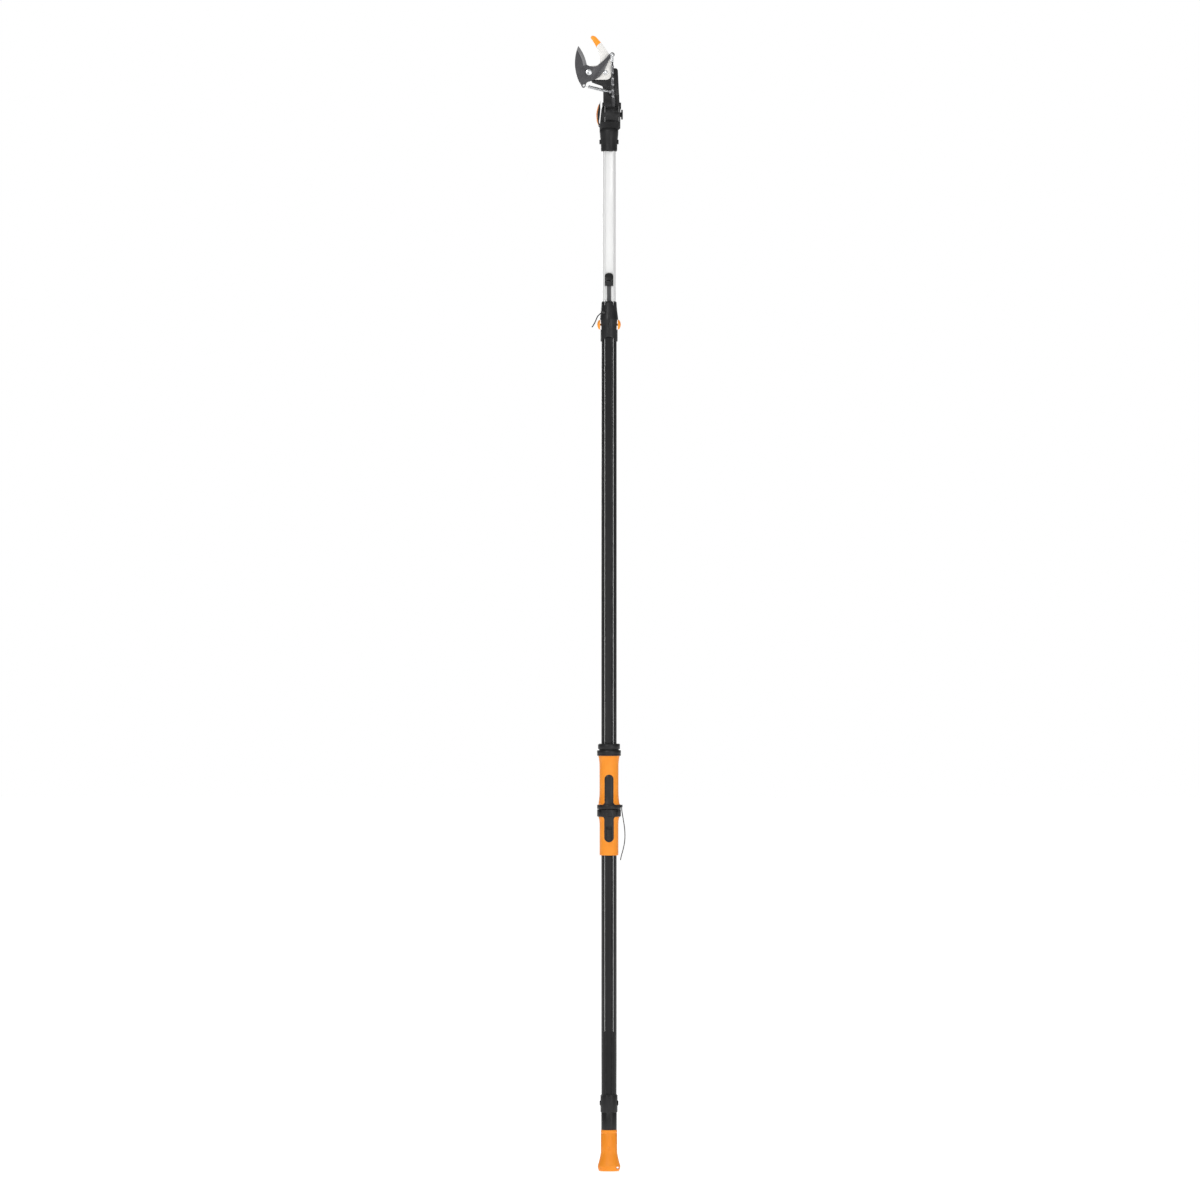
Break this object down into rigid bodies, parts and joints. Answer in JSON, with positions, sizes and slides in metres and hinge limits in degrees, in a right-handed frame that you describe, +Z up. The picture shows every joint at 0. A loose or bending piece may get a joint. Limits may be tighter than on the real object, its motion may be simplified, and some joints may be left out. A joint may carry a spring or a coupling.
{
  "type": "telescopic tree pruner",
  "caption": "Bypass blade and hook on a telescopic pole, closed by a chain and strap from a sliding handle or a pull knob, with a tilting head.",
  "frame": {"origin": "on the pole's axis, at the foot of the pull knob", "axes": "+Z up the pole towards the head, -Y towards the side with the strap groove and the blade's face, +X to the right of that face"},
  "size_m": [0.1071, 0.0506, 2.4066],
  "materials": {
    "aluminium": "plain drawn aluminium",
    "black_plastic": "moulded black nylon with a fine spark texture",
    "black_pole": "satin black anodised tube with fine draw lines",
    "coated_blade": "low-friction grey coating with a ground bevel",
    "dark_steel": "blackened steel",
    "nylon_tie": "black nylon tie",
    "orange_grip": "soft orange moulded grip",
    "orange_plastic": "glossy orange moulding",
    "soft_black": "soft black inlay",
    "steel": "zinc-plated steel",
    "webbing": "woven black polyester webbing",
    "white_hook": "white powder coat",
    "white_nylon": "natural nylon wheel",
    "white_pole": "gloss white painted tube"
  },
  "bodies": {
    "outer_pole": {"outer_pole": "black_pole", "pole_collar": "black_plastic", "collar_pads": "black_plastic", "collar_springs": "steel", "collar_tie": "nylon_tie", "collar_tie_tail": "nylon_tie", "end_collar": "black_plastic", "end_collar_screws": "steel"},
    "inner_pole": {"inner_pole": "white_pole", "pole_foot": "black_plastic", "strap_guide": "black_plastic", "guide_pin": "steel", "strap": "webbing", "loop_strap": "webbing", "adapter_front": "black_plastic", "adapter_rear": "black_plastic", "adapter_screws": "steel", "tilt_pins": "black_plastic", "lever_pin": "steel"},
    "guide_roller": {"guide_roller": "aluminium"},
    "pulley_block": {"pulley_block": "aluminium", "pulley_pin": "steel", "pull_strap": "webbing"},
    "pulley_wheel": {"pulley_wheel": "white_nylon"},
    "button_left": {"button_left": "orange_plastic"},
    "button_right": {"button_right": "orange_plastic"},
    "tilt_lever": {"tilt_lever": "black_plastic", "lever_cap": "orange_plastic"},
    "head": {"head_housing": "black_plastic", "hook": "white_hook", "hook_tip": "orange_plastic", "head_bolts": "steel", "head_nuts": "steel", "spring_anchor": "dark_steel", "head_strap": "webbing"},
    "blade": {"blade": "coated_blade", "chain_pin": "steel"},
    "chain": {"chain_outer_plates": "steel", "chain_inner_plates": "dark_steel", "chain_rivets": "steel"},
    "return_spring": {"return_spring": "steel"},
    "spring_hook": {"spring_hook": "steel"},
    "handle": {"slider_core": "black_plastic", "grip_upper": "orange_grip", "grip_lower": "orange_grip", "top_rings": "black_plastic", "centre_flange": "black_plastic", "inlay_upper": "soft_black", "inlay_lower": "soft_black", "strap_clamp": "steel", "handle_tie": "nylon_tie", "handle_tie_tail": "nylon_tie"},
    "lock_ring": {"lock_ring": "black_plastic"},
    "thumb_button": {"thumb_button": "soft_black"},
    "knob": {"knob": "orange_grip", "neck_tube": "black_plastic", "guide_rod": "aluminium", "rod_plug": "black_plastic", "knob_screw": "steel"}
  },
  "joints": [
    {"name": "pole_extend", "type": "slide", "parent": "outer_pole", "child": "inner_pole", "axis": [0, 0, 1], "range_m": [0, 1.45]},
    {"name": "handle_pull", "type": "slide", "parent": "outer_pole", "child": "handle", "axis": [0, 0, -1], "range_m": [0, 0.1]},
    {"name": "knob_pull", "type": "slide", "parent": "outer_pole", "child": "knob", "axis": [0, 0, -1], "range_m": [0, 0.1]},
    {"name": "press_left", "type": "slide", "parent": "outer_pole", "child": "button_left", "axis": [1, 0, 0], "range_m": [0, 0.0025], "stiffness_N_per_m": 300, "springref_m": -0.002, "deforming": ["collar_springs"]},
    {"name": "press_right", "type": "slide", "parent": "outer_pole", "child": "button_right", "axis": [-1, 0, 0], "range_m": [0, 0.0025], "stiffness_N_per_m": 300, "springref_m": -0.002, "deforming": ["collar_springs"]},
    {"name": "ring_turn", "type": "hinge", "parent": "handle", "child": "lock_ring", "pos_m": [0, 0, 0.7587], "axis": [0, 0, 1], "range_deg": [0, 40]},
    {"name": "thumb_slide", "type": "slide", "parent": "handle", "child": "thumb_button", "axis": [0, 0, 1], "range_m": [0, 0.006]},
    {"name": "roller_turn", "type": "hinge", "parent": "inner_pole", "child": "guide_roller", "pos_m": [0, -0.0104, 1.8856], "axis": [1, 0, 0], "range_deg": [0, 1910]},
    {"name": "block_slide", "type": "slide", "parent": "inner_pole", "child": "pulley_block", "axis": [0, 0, -1], "range_m": [0, 0.05], "deforming": ["loop_strap", "head_strap"]},
    {"name": "wheel_turn", "type": "hinge", "parent": "pulley_block", "child": "pulley_wheel", "pos_m": [0, 0.0025, 2.091], "axis": [1, 0, 0], "range_deg": [0, 610]},
    {"name": "lever_swing", "type": "hinge", "parent": "inner_pole", "child": "tilt_lever", "pos_m": [-0.0194, 0, 2.215], "axis": [0, -1, 0], "range_deg": [0, 16]},
    {"name": "head_tilt", "type": "hinge", "parent": "inner_pole", "child": "head", "pos_m": [0, 0, 2.239], "axis": [1, 0, 0], "range_deg": [-115, 115]},
    {"name": "blade_close", "type": "hinge", "parent": "head", "child": "blade", "pos_m": [-0.0426, 0, 2.3286], "axis": [0, 1, 0], "range_deg": [0, 50]},
    {"name": "chain_swing", "type": "hinge", "parent": "blade", "child": "chain", "pos_m": [0.0068, -0.0045, 2.3659], "axis": [0, -1, 0], "range_deg": [0, 42.5]},
    {"name": "spring_swing", "type": "hinge", "parent": "head", "child": "return_spring", "pos_m": [0.0021, -0.0052, 2.287], "axis": [0, 1, 0], "range_deg": [0, 9.98]},
    {"name": "spring_stretch", "type": "slide", "parent": "return_spring", "child": "spring_hook", "axis": [-0.9723, 0, 0.2339], "range_m": [0, 0.0228], "deforming": ["return_spring"]}
  ],
  "couplings": [
    {"joint": "knob_pull", "follows": "handle_pull", "ratio": 1},
    {"joint": "block_slide", "follows": "handle_pull", "ratio": 0.5},
    {"joint": "roller_turn", "follows": "handle_pull", "rad_per_m": 333.32},
    {"joint": "wheel_turn", "follows": "handle_pull", "rad_per_m": 106.38},
    {"joint": "blade_close", "follows": "handle_pull", "rad_per_m": 8.7265},
    {"joint": "chain_swing", "follows": "handle_pull", "rad_per_m": 7.4176},
    {"joint": "spring_swing", "follows": "handle_pull", "rad_per_m": 1.7402},
    {"joint": "spring_stretch", "follows": "handle_pull", "ratio": 0.22718}
  ]
}
